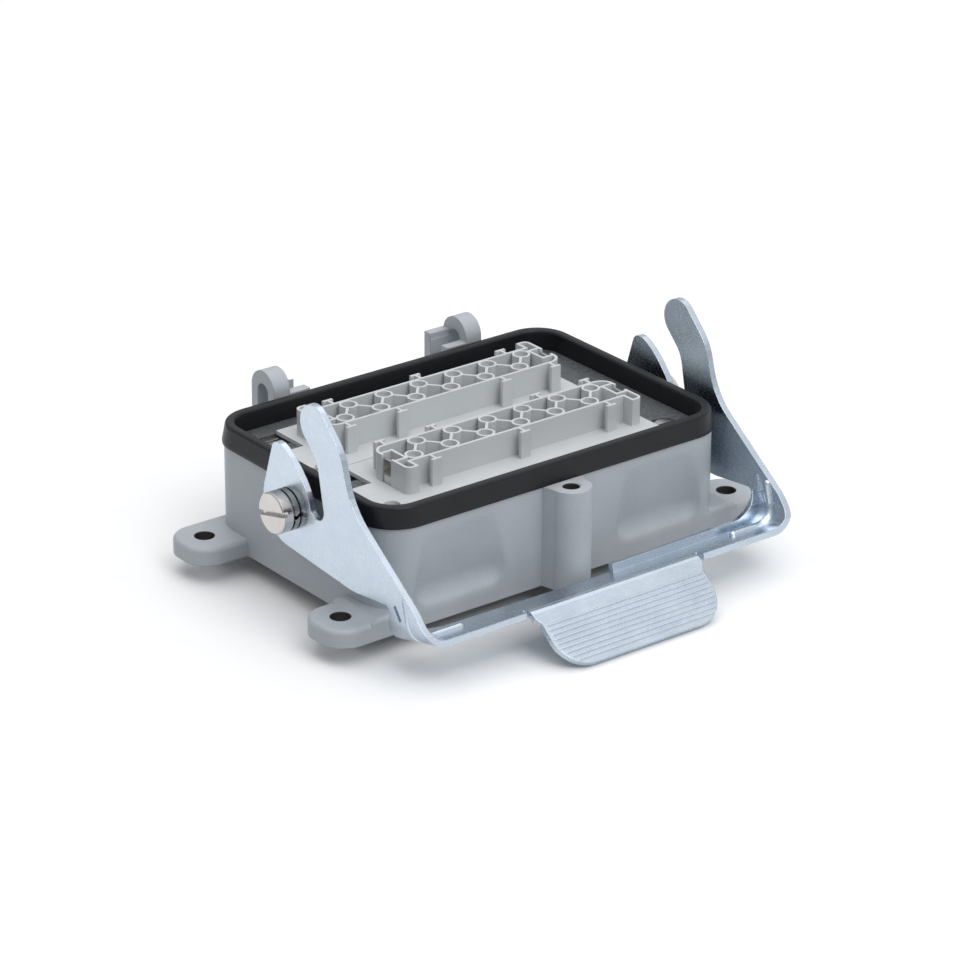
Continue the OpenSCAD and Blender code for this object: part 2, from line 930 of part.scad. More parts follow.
module folded_sheet()
    on_crossbar()
        translate([0, blank, 0])
            rotate([90, 0, 0])
                linear_extrude(blank)
                    difference() {
                        channel_side(0);
                        channel_side(lever_t);
                    }

// Plan of what is cut away behind the crossbar
function behind_crossbar() = rounded([
    [-bend_x - 2, 3 * crossbar_w, 0], [-flare_x, flare_w, 6], [0, crossbar_w, 0],
    [flare_x, flare_w, 6], [bend_x + 2, 3 * crossbar_w, 0]
]);

// Upright flange along the right half of the crossbar's back edge
module rear_flange() {
    intersection() {
        linear_extrude(lever_t + flange_up)
            difference() {
                translate([rear_flange_x, 0])
                    square([arm_in - rear_flange_x, 1.7 * crossbar_w]);
                polygon(behind_crossbar());
                translate([0, -lever_t])
                    polygon(behind_front());
            }
        translate([0, 2 * crossbar_w, 0])
            rotate([90, 0, 0])
                linear_extrude(2 * crossbar_w)
                    channel_side(0);
    }
}

// Plan of the crossbar in front of the flange
function behind_front() = concat(
    [[rear_flange_x - over, -over]],
    [[rear_flange_x - over, crossbar_w + (flare_w - crossbar_w) * rear_flange_x / flare_x]],
    [[flare_x + lever_t, flare_w], [bend_x + 2, 3 * crossbar_w], [2 * arm_out, 3 * crossbar_w]],
    [[2 * arm_out, -over]]
);

// Bead pressed through a bend: the section runs down the arm, round the bend and along the bar
module bead_path(radius, section_r) {
    translate([bend_x, bead_s, bend_r]) {
        rotate([90, 90, 0])
            rotate_extrude(angle = 90)
                translate([radius, 0])
                    circle(section_r);
        translate([radius, 0, 0]) {
            cylinder(r = section_r, h = bead_up);
            translate([0, 0, bead_up])
                sphere(section_r);
        }
        translate([0, 0, -radius])
            rotate([0, -90, 0]) {
                cylinder(r = section_r, h = bead_in);
                translate([0, 0, bead_in])
                    sphere(section_r);
            }
    }
}

// Half width of the tab's flat at a distance from the fold
function tab_half(s) =
    let (past = max(0, s - (tab_l - tab_corner_r)))
    tab_w / 2 - tab_corner_r + sqrt(pow(tab_corner_r, 2) - pow(past, 2));

// Tab folded down from the front edge of the crossbar
module tab() {
    fold = crossbar_rise + tab_fall;
    ribs = floor((tab_l - rib_start - rib_end) / rib_pitch);
    translate([0, fold_s, -fold_r])
        rotate([0, 90, 0])
            rotate([0, 0, 180])
                rotate_extrude(angle = fold)
                    translate([fold_r + fold_skin, -neck_x])
                        square([lever_t - 2 * fold_skin, 2 * neck_x]);
    translate([0, fold_s, -fold_r])
        rotate([fold, 0, 0])
            translate([0, 0, fold_r]) {
                linear_extrude(lever_t)
                    polygon(rounded([
                        [-flat_x, fold_lap, 0], [-flat_x, -0.8, 0.6], [-tab_w / 2, -3, 3],
                        [-tab_w / 2, -tab_l, tab_corner_r], [tab_w / 2, -tab_l, tab_corner_r],
                        [tab_w / 2, -3, 3], [flat_x, -0.8, 0.6], [flat_x, fold_lap, 0]
                    ]));
                for (i = [0:ribs])
                    translate([0, -rib_start - i * rib_pitch, lever_t + rib_h - rib_r])
                        rotate([0, 90, 0])
                            cylinder(
                                r = rib_r,
                                h = 2 * (tab_half(rib_start + i * rib_pitch) - rib_inset),
                                center = true
                            );
            }
}

module locking_lever() color(zinc) {
    difference() {
        union() {
            intersection() {
                folded_sheet();
                along_x(-arm_out - over, arm_out + over)
                    polygon(rounded(arm_outline()));
            }
            on_crossbar() {
                rear_flange();
                both_ends()
                    bead_path(bend_r - lever_t, bead_r);
            }
        }
        on_crossbar() {
            translate([0, 0, -over])
                linear_extrude(bend_r)
                    polygon(behind_crossbar());
            translate([-neck_x - relief_w / 2, -over, -over])
                cube([2 * neck_x + relief_w, fold_s - fold_lap + over, lever_t + 2 * over]);
            both_ends() {
                bead_path(bend_r, bead_r - 0.3);
                translate([neck_x + fold_skin, -over, -over])
                    cube([relief_w, fold_s + over, lever_t + 2 * over]);
                translate([neck_x + fold_skin + relief_w / 2, fold_s, -over])
                    cylinder(d = relief_w, h = lever_t + 2 * over);
                translate([arm_in - over, slit_s, bend_r])
                    rotate([-22, 0, 0])
                        translate([0, -slit_w / 2, 0])
                            cube([lever_t + 2 * over, slit_w, slit_l]);
            }
        }
        translate([0, pivot_y, pivot_z])
            rotate([0, 90, 0])
                cylinder(r = bush_d / 2 + run, h = 3 * arm_out, center = true);
    }
    on_crossbar()
        tab();
}

// Pivots, drawn at the right end along +X

module at_pivot(x) {
    translate([x, pivot_y, pivot_z])
        rotate([0, 90, 0])
            children();
}

module pivot_bush() {
    at_pivot(bush_x)
        difference() {
            cylinder(d = bush_d, h = bush_l);
            translate([0, 0, -over])
                cylinder(d = pivot_screw_d + slip, h = bush_l + 2 * over);
        }
}

module lock_washer() {
    split_w = 1.2;
    at_pivot(washer_x)
        difference() {
            cylinder(d = pivot_head_d, h = washer_t);
            translate([0, 0, -over])
                cylinder(d = pivot_screw_d + 4 * slip, h = washer_t + 2 * over);
            translate([0, -pivot_head_d / 2, washer_t / 2])
                rotate([0, 30, 0])
                    cube([split_w, pivot_head_d, 4 * washer_t], center = true);
        }
}

module pivot_screw() {
    edge = 0.4;
    slot_w = 1.5;
    slot_h = 1.6;
    slot_turn = 14;
    at_pivot(head_x)
        difference() {
            union() {
                cylinder(d = pivot_head_d, h = pivot_head_h - edge);
                translate([0, 0, pivot_head_h - edge])
                    cylinder(d1 = pivot_head_d, d2 = pivot_head_d - 2 * edge, h = edge);
                translate([0, 0, -neck_t])
                    cylinder(d = pivot_head_d - 3, h = neck_t + bury);
                translate([0, 0, shank_end - head_x])
                    cylinder(d = pivot_screw_d - slip, h = head_x - shank_end);
            }
            rotate([0, 0, -slot_turn])
                translate([-slot_w / 2, -pivot_head_d, pivot_head_h - slot_h])
                    cube([slot_w, 2 * pivot_head_d, slot_h + over]);
        }
}

module pivot_bush_right() color(brass) pivot_bush();
module pivot_bush_left() color(brass) mirror([1, 0, 0]) pivot_bush();
module lock_washer_right() color(nickel) lock_washer();
module lock_washer_left() color(nickel) mirror([1, 0, 0]) lock_washer();
module pivot_screw_right() color(nickel) pivot_screw();
module pivot_screw_left() color(nickel) mirror([1, 0, 0]) pivot_screw();

housing();
lug_front_left();
lug_front_right();
lug_back_left();
lug_back_right();
front_boss();
hinge_ear_left();
hinge_ear_right();
rim_gasket();
panel_gasket();
locking_lever();
pivot_screw_left();
pivot_screw_right();
lock_washer_left();
lock_washer_right();
pivot_bush_left();
pivot_bush_right();
insert_body_front();
insert_body_rear();
contact_sockets_front();
contact_sockets_rear();
earth_bracket_front_left();
earth_bracket_front_right();
earth_bracket_rear_left();
earth_bracket_rear_right();
fixing_screws_front();
fixing_screws_rear();
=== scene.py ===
import json
from math import cos, radians, sin

import bmesh
import bpy
from mathutils import Matrix, Vector


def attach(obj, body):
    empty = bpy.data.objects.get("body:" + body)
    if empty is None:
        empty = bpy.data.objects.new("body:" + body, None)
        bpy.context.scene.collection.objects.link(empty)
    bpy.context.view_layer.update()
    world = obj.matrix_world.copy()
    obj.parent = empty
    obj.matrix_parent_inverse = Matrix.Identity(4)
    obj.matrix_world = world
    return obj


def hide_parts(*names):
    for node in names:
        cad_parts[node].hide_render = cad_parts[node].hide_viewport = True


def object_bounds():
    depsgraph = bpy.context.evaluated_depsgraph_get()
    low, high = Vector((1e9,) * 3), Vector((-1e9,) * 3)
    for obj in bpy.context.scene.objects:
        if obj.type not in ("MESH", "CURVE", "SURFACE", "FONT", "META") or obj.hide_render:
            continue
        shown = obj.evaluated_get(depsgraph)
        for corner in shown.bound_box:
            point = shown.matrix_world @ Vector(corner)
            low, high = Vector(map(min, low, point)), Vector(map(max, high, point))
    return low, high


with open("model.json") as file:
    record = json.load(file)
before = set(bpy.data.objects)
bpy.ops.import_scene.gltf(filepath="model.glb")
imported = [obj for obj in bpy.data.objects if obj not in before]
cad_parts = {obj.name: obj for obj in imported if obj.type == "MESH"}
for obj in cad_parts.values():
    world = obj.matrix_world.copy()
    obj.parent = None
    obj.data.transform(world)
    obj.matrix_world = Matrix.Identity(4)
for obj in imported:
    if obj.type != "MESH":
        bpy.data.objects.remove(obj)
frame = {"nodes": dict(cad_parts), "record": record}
cad_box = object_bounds()
nodes = frame["nodes"]
scene = bpy.context.scene


# Shader trees


class Tree:
    """A node tree, with short ways to add the nodes that the materials and the world use."""

    def __init__(self, owner):
        owner.use_nodes = True
        self.tree = owner.node_tree

    def shader(self, name):
        return self.tree.nodes[name]

    def add(self, kind, **values):
        node = self.tree.nodes.new(kind)
        for name, value in values.items():
            setattr(node, name, value)
        return node

    def link(self, source, target):
        self.tree.links.new(source, target)

    def fill(self, socket, value):
        """Gives a socket a plain number, a colour or another node's output."""
        if isinstance(value, (int, float)):
            socket.default_value = value
        elif isinstance(value, tuple):
            socket.default_value = (*value, 1.0)
        else:
            self.link(value, socket)

    def coords(self, kind):
        return self.add("ShaderNodeTexCoord").outputs[kind]

    def noise(self, coords, scale, detail=3.0, roughness=0.5):
        node = self.add("ShaderNodeTexNoise")
        node.inputs["Scale"].default_value = scale
        node.inputs["Detail"].default_value = detail
        node.inputs["Roughness"].default_value = roughness
        self.link(coords, node.inputs["Vector"])
        return node.outputs["Fac"]

    def remap(self, value, low, high, to_low=0.0, to_high=1.0):
        node = self.add("ShaderNodeMapRange")
        node.inputs["From Min"].default_value = low
        node.inputs["From Max"].default_value = high
        node.inputs["To Min"].default_value = to_low
        node.inputs["To Max"].default_value = to_high
        self.link(value, node.inputs["Value"])
        return node.outputs["Result"]

    def math(self, operation, a, b):
        node = self.add("ShaderNodeMath", operation=operation)
        self.fill(node.inputs[0], a)
        self.fill(node.inputs[1], b)
        return node.outputs["Value"]

    def both(self, a, b):
        return self.math("MULTIPLY", a, b)

    def either(self, a, b):
        return self.math("MAXIMUM", a, b)

    def blend(self, a, a_share, b, b_share):
        return self.math("ADD", self.math("MULTIPLY", a, a_share), self.math("MULTIPLY", b, b_share))

    def mix(self, factor, a, b, kind="RGBA"):
        node = self.add("ShaderNodeMix", data_type=kind)
        self.fill(node.inputs["Factor"], factor)
        self.fill(node.inputs["A"], a)
        self.fill(node.inputs["B"], b)
        return node.outputs["Result"]

    def parts(self, vector):
        node = self.add("ShaderNodeSeparateXYZ")
        self.link(vector, node.inputs[0])
        return node.outputs

    def stretched(self, coords, scale):
        node = self.add("ShaderNodeMapping")
        node.inputs["Scale"].default_value = scale
        self.link(coords, node.inputs["Vector"])
        return node.outputs["Vector"]

    def between(self, value, low, high):
        """1 where the value lies between two limits, else 0."""
        return self.both(self.math("GREATER_THAN", value, low), self.math("LESS_THAN", value, high))

    def near(self, value, place, width):
        """1 where the value without its sign is within a width of a place, else 0."""
        size = self.math("ABSOLUTE", value, 0.0)
        return self.between(size, place - width, place + width)

    def rounded_normal(self, radius):
        node = self.add("ShaderNodeBevel")
        node.samples = 6
        self.fill(node.inputs["Radius"], radius)
        return node.outputs["Normal"]

    def bump(self, shader, height, strength, distance, normal):
        node = self.add("ShaderNodeBump")
        node.inputs["Strength"].default_value = strength
        node.inputs["Distance"].default_value = distance
        self.link(height, node.inputs["Height"])
        self.link(normal, node.inputs["Normal"])
        self.link(node.outputs["Normal"], shader.inputs["Normal"])


def new_material(name):
    material = bpy.data.materials.new(name)
    tree = Tree(material)
    return material, tree, tree.shader("Principled BSDF")


# Materials. Colours are pairs of a darker and a lighter tone, and lengths are in metres

PAINT = ((0.380, 0.407, 0.434), (0.450, 0.480, 0.511))
BARE_METAL = ((0.053, 0.059, 0.062), (0.132, 0.141, 0.144))
# Painted shade on the walls of the bores: a near-black that stands for the shadow inside them
PAINTED_BORE_SHADE = (0.040, 0.038, 0.036)
RUBBER = ((0.004, 0.0045, 0.0055), (0.010, 0.011, 0.013))
MOULDING = ((0.52, 0.538, 0.547), (0.606, 0.624, 0.634))
ZINC = ((0.54, 0.615, 0.70), (0.645, 0.72, 0.80))
NICKEL = ((0.57, 0.545, 0.52), (0.67, 0.645, 0.62))
WASHER = ((0.31, 0.31, 0.30), (0.43, 0.43, 0.415))
SILVER = ((0.66, 0.66, 0.65), (0.80, 0.80, 0.79))
BRASS = ((0.62, 0.48, 0.24), (0.76, 0.62, 0.34))

# Range of a noise that is spread over a material's tones or roughness
NOISE_LOW, NOISE_HIGH = 0.3, 0.7

# Casting: its half length, half width, ledge height and lug height
HALF_X, HALF_Y, LEDGE_Z, LUG_Z = 0.065, 0.045, 0.0324, 0.0068

# Bores in the lugs and in the front boss: distance from both middle planes, and radius
LUG_HOLE = (0.074, 0.035, 0.0032)
BOSS_HOLE = (0.0, 0.0493, 0.0026)

# Bare metal: how far inside the walls it starts, on all faces and on level ones, and how far it
# reaches below and above the ledge
BARE_IN, BARE_IN_LEVEL, BARE_BELOW, BARE_ABOVE = 0.005, 0.003, 0.0045, 0.002

# Hollows in the front wall: distance from the middle, half length, heights, and reach before and
# behind the wall's face. Their borders are rounder than the casting's other edges
HOLLOW_X, HOLLOW_HALF, HOLLOW_LOW, HOLLOW_HIGH = 0.036, 0.023, 0.003, 0.0295
HOLLOW_BEFORE, HOLLOW_BEHIND = 0.001, 0.004
EDGE_ROUND, HOLLOW_ROUND = 0.0006, 0.0035

# Half widths of the strips, on the end walls and on the long walls, where the casting's nodes meet
END_SEAM, SIDE_SEAM = 0.0009, 0.0004


def bore(tree, x, y, hole):
    """1 on the wall of the upright bores whose centres lie at a place and its mirror images."""
    across, along, radius = hole
    dx = tree.math("SUBTRACT", tree.math("ABSOLUTE", x, 0.0), across)
    dy = tree.math("SUBTRACT", tree.math("ABSOLUTE", y, 0.0), along)
    square = tree.math("ADD", tree.math("MULTIPLY", dx, dx), tree.math("MULTIPLY", dy, dy))
    return tree.math("LESS_THAN", square, radius * radius)


def inside_walls(tree, x, y, margin):
    return tree.both(tree.near(x, 0.0, HALF_X - margin), tree.near(y, 0.0, HALF_Y - margin))


def powder_coat():
    """Grey paint with fine grain, bare dark metal on the inner ledge, and painted shade on the walls of
    the bores.
    """
    material, tree, shader = new_material("powder_coat")
    coords = tree.coords("Object")
    x, y, z = tree.parts(coords)
    fine = tree.noise(coords, 2600.0, detail=2.0)
    grain = tree.noise(coords, 900.0, roughness=0.65)
    cloud = tree.noise(coords, 60.0)
    flat = tree.add("ShaderNodeNewGeometry").outputs["Normal"]

    level = tree.math("GREATER_THAN", tree.parts(flat)[2], 0.5)
    level = tree.both(inside_walls(tree, x, y, BARE_IN_LEVEL), level)
    inside = tree.either(inside_walls(tree, x, y, BARE_IN), level)
    ledge = tree.both(inside, tree.between(z, LEDGE_Z - BARE_BELOW, LEDGE_Z + BARE_ABOVE))
    bores = tree.either(bore(tree, x, y, LUG_HOLE), bore(tree, x, y, BOSS_HOLE))
    paint = tree.mix(tree.remap(tree.math("ADD", fine, cloud), 0.7, 1.3), *PAINT)
    bare = tree.mix(tree.remap(grain, 0.35, 0.75), *BARE_METAL)
    coat = tree.mix(ledge, paint, bare)
    # The bores' walls get painted shade in place of the shadow that falls inside them
    tree.link(tree.mix(bores, coat, PAINTED_BORE_SHADE), shader.inputs["Base Color"])
    tree.link(tree.remap(cloud, NOISE_LOW, NOISE_HIGH, 0.40, 0.52), shader.inputs["Roughness"])

    hollow = tree.both(tree.near(x, HOLLOW_X, HOLLOW_HALF), tree.between(z, HOLLOW_LOW, HOLLOW_HIGH))
    hollow = tree.both(hollow, tree.between(y, -HALF_Y - HOLLOW_BEFORE, -HALF_Y + HOLLOW_BEHIND))
    end_seam = tree.both(tree.near(x, HALF_X, END_SEAM), tree.math("LESS_THAN", z, LUG_Z))
    side_seam = tree.both(tree.near(y, HALF_Y, SIDE_SEAM), tree.math("SUBTRACT", 1.0, hollow))
    radius = tree.remap(hollow, 0.0, 1.0, EDGE_ROUND, HOLLOW_ROUND)
    seam = tree.either(end_seam, side_seam)
    normal = tree.mix(seam, tree.rounded_normal(radius), flat, "VECTOR")
    relief = tree.mix(ledge, tree.math("MULTIPLY", fine, 0.25), grain, "FLOAT")
    tree.bump(shader, relief, 0.35, 0.00012, normal)
    return material


def rubber():
    material, tree, shader = new_material("rubber")
    coords = tree.coords("Object")
    fine = tree.noise(coords, 1800.0)
    cloud = tree.noise(coords, 90.0)
    tree.link(tree.mix(cloud, *RUBBER), shader.inputs["Base Color"])
    tree.link(tree.remap(fine, NOISE_LOW, NOISE_HIGH, 0.34, 0.48), shader.inputs["Roughness"])
    shader.inputs["Specular IOR Level"].default_value = 0.34
    tree.bump(shader, fine, 0.2, 0.00005, tree.rounded_normal(0.0005))
    return material


def moulding():
    material, tree, shader = new_material("moulding")
    coords = tree.coords("Object")
    fine = tree.noise(coords, 1500.0)
    cloud = tree.noise(coords, 45.0, detail=2.0)
    tree.link(tree.mix(cloud, *MOULDING), shader.inputs["Base Color"])
    tree.link(tree.remap(fine, NOISE_LOW, NOISE_HIGH, 0.35, 0.5), shader.inputs["Roughness"])
    tree.bump(shader, fine, 0.12, 0.00004, tree.rounded_normal(0.0002))
    return material


def plated(name, tones, smooth, rough, edge):
    """Metal with clouded tones, a roughness from one value to another, and edges of a radius."""
    material, tree, shader = new_material(name)
    coords = tree.coords("Object")
    cloud = tree.noise(coords, 55.0, detail=4.0, roughness=0.6)
    patch = tree.noise(coords, 420.0, detail=4.0, roughness=0.7)
    streak = tree.noise(tree.stretched(coords, (1.0, 9.0, 9.0)), 260.0)
    tone = tree.remap(tree.blend(cloud, 0.55, patch, 0.45), NOISE_LOW, NOISE_HIGH)
    mottle = tree.remap(tree.blend(cloud, 0.6, streak, 0.4), NOISE_LOW, NOISE_HIGH, smooth, rough)
    tree.link(tree.mix(tone, *tones), shader.inputs["Base Color"])
    tree.link(mottle, shader.inputs["Roughness"])
    shader.inputs["Metallic"].default_value = 1.0
    tree.bump(shader, streak, 0.06, 0.00004, tree.rounded_normal(edge))
    return material


MATERIALS = {
    "casting": powder_coat(),
    "rubber": rubber(),
    "moulding": moulding(),
    "zinc_steel": plated("zinc_plate", ZINC, 0.20, 0.33, 0.0003),
    "nickel_steel": plated("nickel_plate", NICKEL, 0.14, 0.28, 0.0002),
    "dark_steel": plated("dark_washer", WASHER, 0.22, 0.34, 0.0002),
    "contact_metal": plated("silver_plate", SILVER, 0.18, 0.32, 0.0001),
    "brass": plated("brass", BRASS, 0.20, 0.36, 0.0001),
}

slot_of = {row["node"]: row["material_slot"] for row in frame["record"]["subparts"]}
for name, obj in nodes.items():
    obj.data.materials.clear()
    slot = "dark_steel" if name.startswith("lock_washer") else slot_of[name]
    obj.data.materials.append(MATERIALS[slot])


# Pieces that stand for CAD nodes whose outlines the photograph shows a little differently.
# Their sizes are in millimetres

MM_PER_M = 1000


def piece_of(name, shape):
    mesh = bpy.data.meshes.new(name)
    shape.to_mesh(mesh)
    shape.free()
    obj = bpy.data.objects.new(name, mesh)
    scene.collection.objects.link(obj)
    return obj


def prism(name, outline, low, high):
    """A straight bar from one X to another, with an outline of (y, z) points."""
    shape = bmesh.new()
    near_end, far_end = [
        [shape.verts.new((x / MM_PER_M, y / MM_PER_M, z / MM_PER_M)) for y, z in outline]
        for x in (low, high)
    ]
    shape.faces.new(near_end)
    shape.faces.new(far_end)
    for i in range(len(outline)):
        shape.faces.new((near_end[i - 1], near_end[i], far_end[i], far_end[i - 1]))
    bmesh.ops.recalc_face_normals(shape, faces=shape.faces)
    return piece_of(name, shape)


def combine(piece, operation, tool):
    """Joins or cuts a piece with a tool, which is deleted."""
    modifier = piece.modifiers.new(operation, "BOOLEAN")
    modifier.operation = operation
    modifier.solver = "EXACT"
    modifier.object = tool
    bpy.context.view_layer.update()
    graph = bpy.context.evaluated_depsgraph_get()
    mesh = bpy.data.meshes.new_from_object(piece.evaluated_get(graph))
    piece.modifiers.clear()
    piece.data = mesh
    bpy.data.objects.remove(tool)


def stand_in(piece, node, body, slot):
    """Puts a piece in a node's place, with the finish of its slot."""
    piece.data.materials.clear()
    piece.data.materials.append(MATERIALS[slot])
    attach(piece, body)
    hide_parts(node)


def arc(across, z, radius, start, sweep, steps):
    """The points of an arc about a middle, from one angle over a sweep, both in degrees."""
    turns = [radians(start + sweep * i / steps) for i in range(steps + 1)]
    return [(across + radius * cos(turn), z + radius * sin(turn)) for turn in turns]


def arch(y, z, radius):
    """A half circle, from its front over its top to its back."""
    return arc(y, z, radius, 180, -180, 24)


def quarter(x, z, radius):
    """A quarter circle, from its lowest point to its rightmost."""
    return arc(x, z, radius, -90, 90, 36)


# Hinge ears. The root on the wall: the wall's Y, the height of its top, and its foot
EAR_WALL, EAR_TOP, EAR_FOOT = 45.0, 32.3, 15.4
# The arch's middle and radius, and the slot in it: its middle's height, its radius and its foot
EAR_Y, EAR_Z, EAR_R = 51.7, 39.5, 6.0
EAR_SLOT_Z, EAR_SLOT_R, EAR_SLOT_FOOT = 38.4, 2.8, 26.4
# The stop block beside the arch: the height of its front, and how thick its higher back is
EAR_STEP_Z, EAR_BACK_T = 38.6, 3.0
EAR_STOP_RIGHT, EAR_STOP_LEFT = 40.6, 37.6
# Along X: both sides of the arch, and the stop block's far side
EAR_FROM, EAR_TO, EAR_STOP_FROM = 34.1, 40.1, 26.6
# How far joined shapes overlap and cuts run past, and the angle from which an edge is sharp
EAR_LAP, EAR_PAST, EAR_SHARP = 0.1, 1, 20


def hinge_ear(side, name, stop_z):
    front, back = EAR_Y - EAR_R, EAR_Y + EAR_R
    step = back - EAR_BACK_T
    root = [(back, EAR_FOOT + 2 * EAR_R), (EAR_WALL, EAR_FOOT), (EAR_WALL, EAR_TOP), (front, EAR_TOP)]
    stop = [(front, EAR_STEP_Z), (step, EAR_STEP_Z), (step, stop_z), (back, stop_z)]
    slot = arch(EAR_Y, EAR_SLOT_Z, EAR_SLOT_R)
    slot += [(EAR_Y + EAR_SLOT_R, EAR_SLOT_FOOT), (EAR_Y - EAR_SLOT_R, EAR_SLOT_FOOT)]
    slot_x = (side * (EAR_STOP_FROM - EAR_PAST), side * (EAR_TO + EAR_PAST))
    ear = prism(name, arch(EAR_Y, EAR_Z, EAR_R) + root, side * EAR_FROM, side * EAR_TO)
    combine(ear, "UNION", prism("block", stop + root, side * EAR_STOP_FROM, side * (EAR_FROM + EAR_LAP)))
    combine(ear, "DIFFERENCE", prism("slot", slot, *slot_x))
    for face in ear.data.polygons:
        face.use_smooth = True
    ear.data.set_sharp_from_angle(angle=radians(EAR_SHARP))
    return ear


stand_in(hinge_ear(1, "ear_right", EAR_STOP_RIGHT), "hinge_ear_right", "base", "casting")
stand_in(hinge_ear(-1, "ear_left", EAR_STOP_LEFT), "hinge_ear_left", "base", "casting")

# The lever's pivot, and as (y, z) points from there the curved edge of the short fingers and the
# far side of what is cut away over it. The cut runs through both arms
PIVOT_Y, PIVOT_Z, ARMS_X = -3.8, 27.6, 80.0
FINGER_EDGE = [
    (-10.92, 4.6), (-10.3, 6.2), (-9.2, 8.5), (-7.4, 10.9), (-4.7, 13.9), (-1.3, 16.8), (1.4, 18.5),
    (3.6, 19.4), (5.4, 19.5), (6.8, 19.0), (7.7, 18.0),
]
FINGER_GAP = [(12.0, 18.0), (12.0, 24.0), (5.0, 25.0), (-6.0, 21.5), (-12.5, 14.0), (-13.5, 4.6)]

# The crossbar's front edge, and its tilt in degrees. In its own frame, X runs across, Y back from
# that edge and Z off the sheet
BAR_Y, BAR_Z, BAR_RISE = -71.45, 6.8, 14
# In that frame, the middle of the right bend with the radius of the sheet's middle, the sheet's
# thickness and the height of the rear flange
BEND_X, BEND_Z, BEND_R = 62.0, 8.0, 7.0
SHEET_T, FLANGE_Z = 2.0, 4.6
# The lip, which leaves the rear flange and curves up into the right arm: its curve's middle and
# radius, where it starts along X, and its two faces along Y. The flange's old end goes
LIP_X, LIP_Z, LIP_R = 55.5, 16.6, 12.0
LIP_START, LIP_FROM, LIP_TO = 50.0, 11.7, 13.65
STUB_Z = FLANGE_Z + 1
# The slit beside the bend, which goes on through the lip: its foot, width, length and lean in degrees
SLIT_Y, SLIT_Z, SLIT_W, SLIT_L, SLIT_LEAN = 11.2, 8.0, 1.3, 4.8, 22
# Points of the CAD mesh that are closer than this, in metres, are one point
SAME_POINT = 1e-6


def on_crossbar(name, outline, near_y, far_y):
    """A straight bar in the crossbar's frame, with an outline of (x, z) points, from one Y to another."""
    bar = prism(name, outline, near_y, far_y)
    swap = Matrix(((0, 1, 0, 0), (1, 0, 0, 0), (0, 0, 1, 0), (0, 0, 0, 1)))
    tilt = Matrix.Rotation(radians(-BAR_RISE), 4, "X")
    bar.data.transform(Matrix.Translation((0.0, BAR_Y / MM_PER_M, BAR_Z / MM_PER_M)) @ tilt @ swap)
    bar.data.flip_normals()
    return bar


def slit_outline():
    """The slit's corners as (y, z) points, turned from the crossbar's frame into the part's."""
    rise, lean = radians(BAR_RISE), radians(SLIT_LEAN)
    corners = []
    for across, along in ((-0.5, 0), (0.5, 0), (0.5, 1), (-0.5, 1)):
        y = SLIT_Y + across * SLIT_W * cos(lean) + along * SLIT_L * sin(lean)
        z = SLIT_Z - across * SLIT_W * sin(lean) + along * SLIT_L * cos(lean)
        corners.append((BAR_Y + y * cos(rise) + z * sin(rise), BAR_Z - y * sin(rise) + z * cos(rise)))
    return corners


def lever_copy():
    """The CAD lever as one closed mesh, with its normals kept in an attribute."""
    mesh = nodes["locking_lever"].data.copy()
    normals = [part for normal in mesh.corner_normals for part in normal.vector]
    mesh.attributes.new("kept_normal", "FLOAT_VECTOR", "CORNER").data.foreach_set("vector", normals)
    shape = bmesh.new()
    shape.from_mesh(mesh)
    bpy.data.meshes.remove(mesh)
    bmesh.ops.remove_doubles(shape, verts=shape.verts, dist=SAME_POINT)
    return piece_of("lever_plate", shape)


def lever_plate():
    """The CAD lever with its short fingers cut to their edge and its rear flange led into the arm."""
    lever = lever_copy()
    fingers = [(PIVOT_Y + y, PIVOT_Z + z) for y, z in FINGER_EDGE + FINGER_GAP]
    combine(lever, "DIFFERENCE", prism("cut", fingers, -ARMS_X, ARMS_X))
    stub = [(LIP_START, SHEET_T), (BEND_X, SHEET_T), (BEND_X, STUB_Z), (LIP_START, STUB_Z)]
    combine(lever, "DIFFERENCE", on_crossbar("stub", stub, LIP_TO, 2 * LIP_TO))
    lip = [(LIP_START, SHEET_T / 2)] + quarter(BEND_X, BEND_Z, BEND_R) + [(BEND_X + BEND_R, LIP_Z)]
    lip += quarter(LIP_X, LIP_Z, LIP_R)[::-1] + [(LIP_START, FLANGE_Z)]
    combine(lever, "UNION", on_crossbar("lip", lip, LIP_FROM, LIP_TO))
    combine(lever, "DIFFERENCE", prism("slit", slit_outline(), LIP_X, 2 * LIP_X))

    # New faces have no kept normal, and are flat
    normals = [Vector(item.vector) for item in lever.data.attributes["kept_normal"].data]
    for face in lever.data.polygons:
        face.use_smooth = True
        for corner in face.loop_indices:
            if normals[corner].length < 0.5:
                normals[corner] = face.normal.copy()
    lever.data.normals_split_custom_set([normal.normalized() for normal in normals])
    return lever


stand_in(lever_plate(), "locking_lever", "lever", "zinc_steel")


# Floor, lights and world

FLOOR_SIZE, FLOOR_GAP = 12.0, 0.0003
FLOOR_LIT, FLOOR_SEEN = (0.58, 0.58, 0.58), (0.92, 0.92, 0.92)
ROOM_LOW, ROOM_HIGH = (0.20, 0.222, 0.25), (0.86, 0.87, 0.885)


def floor_material():
    """White where the camera and the metal see it, and a calmer grey in the light that it throws back."""
    material, tree, shader = new_material("floor")
    ray = tree.add("ShaderNodeLightPath").outputs
    seen = tree.either(ray["Is Camera Ray"], ray["Is Glossy Ray"])
    seen = tree.either(seen, ray["Is Transmission Ray"])
    tree.link(tree.mix(seen, FLOOR_LIT, FLOOR_SEEN), shader.inputs["Base Color"])
    shader.inputs["Roughness"].default_value = 0.9
    shader.inputs["Specular IOR Level"].default_value = 0.0
    return material


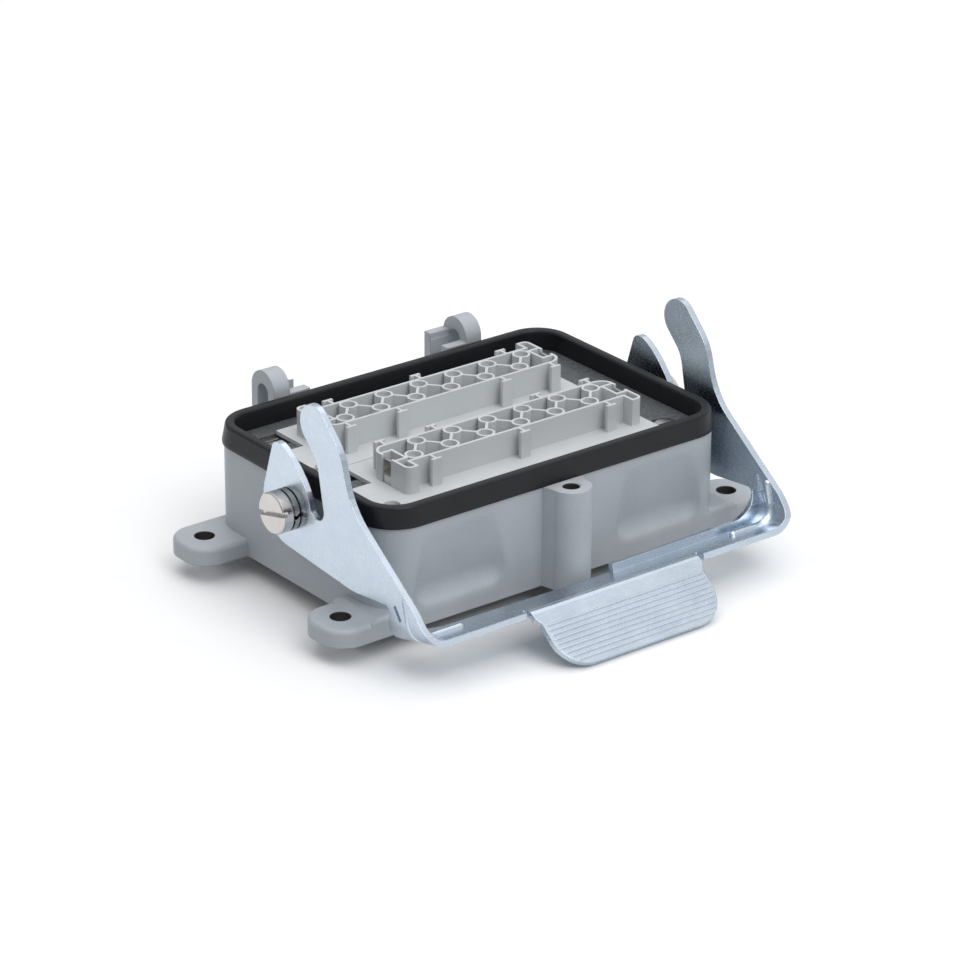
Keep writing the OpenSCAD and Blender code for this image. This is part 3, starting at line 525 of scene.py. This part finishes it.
def add_floor():
    half = FLOOR_SIZE / 2
    corners = [(-half, -half, 0), (half, -half, 0), (half, half, 0), (-half, half, 0)]
    mesh = bpy.data.meshes.new("floor")
    mesh.from_pydata(corners, [], [(0, 1, 2, 3)])
    mesh.materials.append(floor_material())
    floor = bpy.data.objects.new("floor", mesh)
    floor.location = (0.0, 0.0, cad_box[0].z - FLOOR_GAP)
    scene.collection.objects.link(floor)


def area_light(name, place, target, size, power):
    light = bpy.data.lights.new(name, "AREA")
    light.shape = "SQUARE"
    light.size = size
    light.energy = power
    obj = bpy.data.objects.new(name, light)
    obj.location = place
    aim = Vector(target) - Vector(place)
    obj.rotation_euler = aim.to_track_quat("-Z", "Y").to_euler()
    scene.collection.objects.link(obj)


def grey_room():
    """A world that is lighter overhead than near the floor, and darker on the left."""
    world = bpy.data.worlds.new("world")
    tree = Tree(world)
    background = tree.shader("Background")
    to_right, _, to_top = tree.parts(tree.coords("Generated"))
    slant = tree.math("ADD", to_top, tree.math("MULTIPLY", to_right, 0.25))
    height = tree.remap(slant, -0.25, 0.9)
    tree.link(tree.mix(height, ROOM_LOW, ROOM_HIGH), background.inputs["Color"])
    background.inputs["Strength"].default_value = 1.0
    return world


add_floor()
area_light("key", place=(0.1, -1.6, 1.9), target=(0.0, -0.02, 0.02), size=1.6, power=21.0)
area_light("top", place=(0.1, 0.4, 2.4), target=(0.0, 0.0, 0.02), size=3.0, power=19.0)
scene.world = grey_room()


# Camera at the photograph's viewpoint

CAMERA_PLACE = Vector((-0.683430, -0.882502, 0.514917))
CAMERA_RIGHT = Vector((0.79011, -0.61295, 0.00494))
CAMERA_UP = Vector((0.24634, 0.32489, 0.91311))
CAMERA_BACK = Vector((-0.56129, -0.72023, 0.40769))

camera_data = bpy.data.cameras.new("camera")
camera_data.lens = 150.0
camera_data.sensor_width = 36.0
camera_data.clip_start = 0.05
camera_data.clip_end = 50.0
camera = bpy.data.objects.new("camera", camera_data)
turn = Matrix((CAMERA_RIGHT, CAMERA_UP, CAMERA_BACK)).transposed().to_4x4()
camera.matrix_world = Matrix.Translation(CAMERA_PLACE) @ turn
scene.collection.objects.link(camera)
scene.camera = camera

scene.view_settings.view_transform = "Standard"
